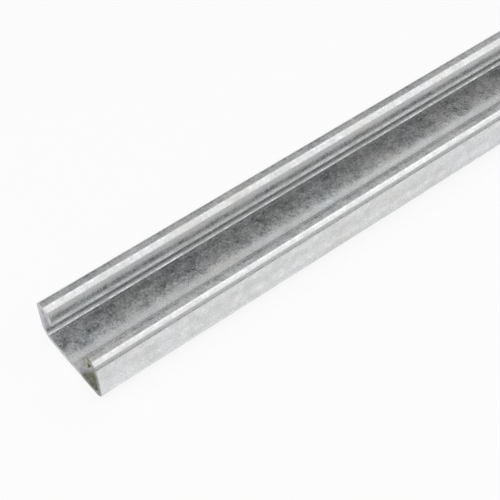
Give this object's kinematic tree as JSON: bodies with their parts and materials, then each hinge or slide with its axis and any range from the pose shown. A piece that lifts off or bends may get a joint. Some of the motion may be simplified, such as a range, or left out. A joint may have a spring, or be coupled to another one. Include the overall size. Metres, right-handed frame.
{
  "type": "strut channel",
  "caption": "Shallow C-shaped steel strut channel with a plain back and inturned lips beside a full-length slot, cut square, galvanised.",
  "frame": {"origin": "middle of the back of the web, on the surface that the channel rests on", "axes": "+X along the length, +Y across the width, +Z out of the open side"},
  "size_m": [1, 0.0412, 0.0206],
  "materials": {
    "galvanised_steel": "pre-galvanised, dull satin grey with a faint mottle"
  },
  "bodies": {
    "root": {"strut_channel": "galvanised_steel"}
  },
  "joints": []
}
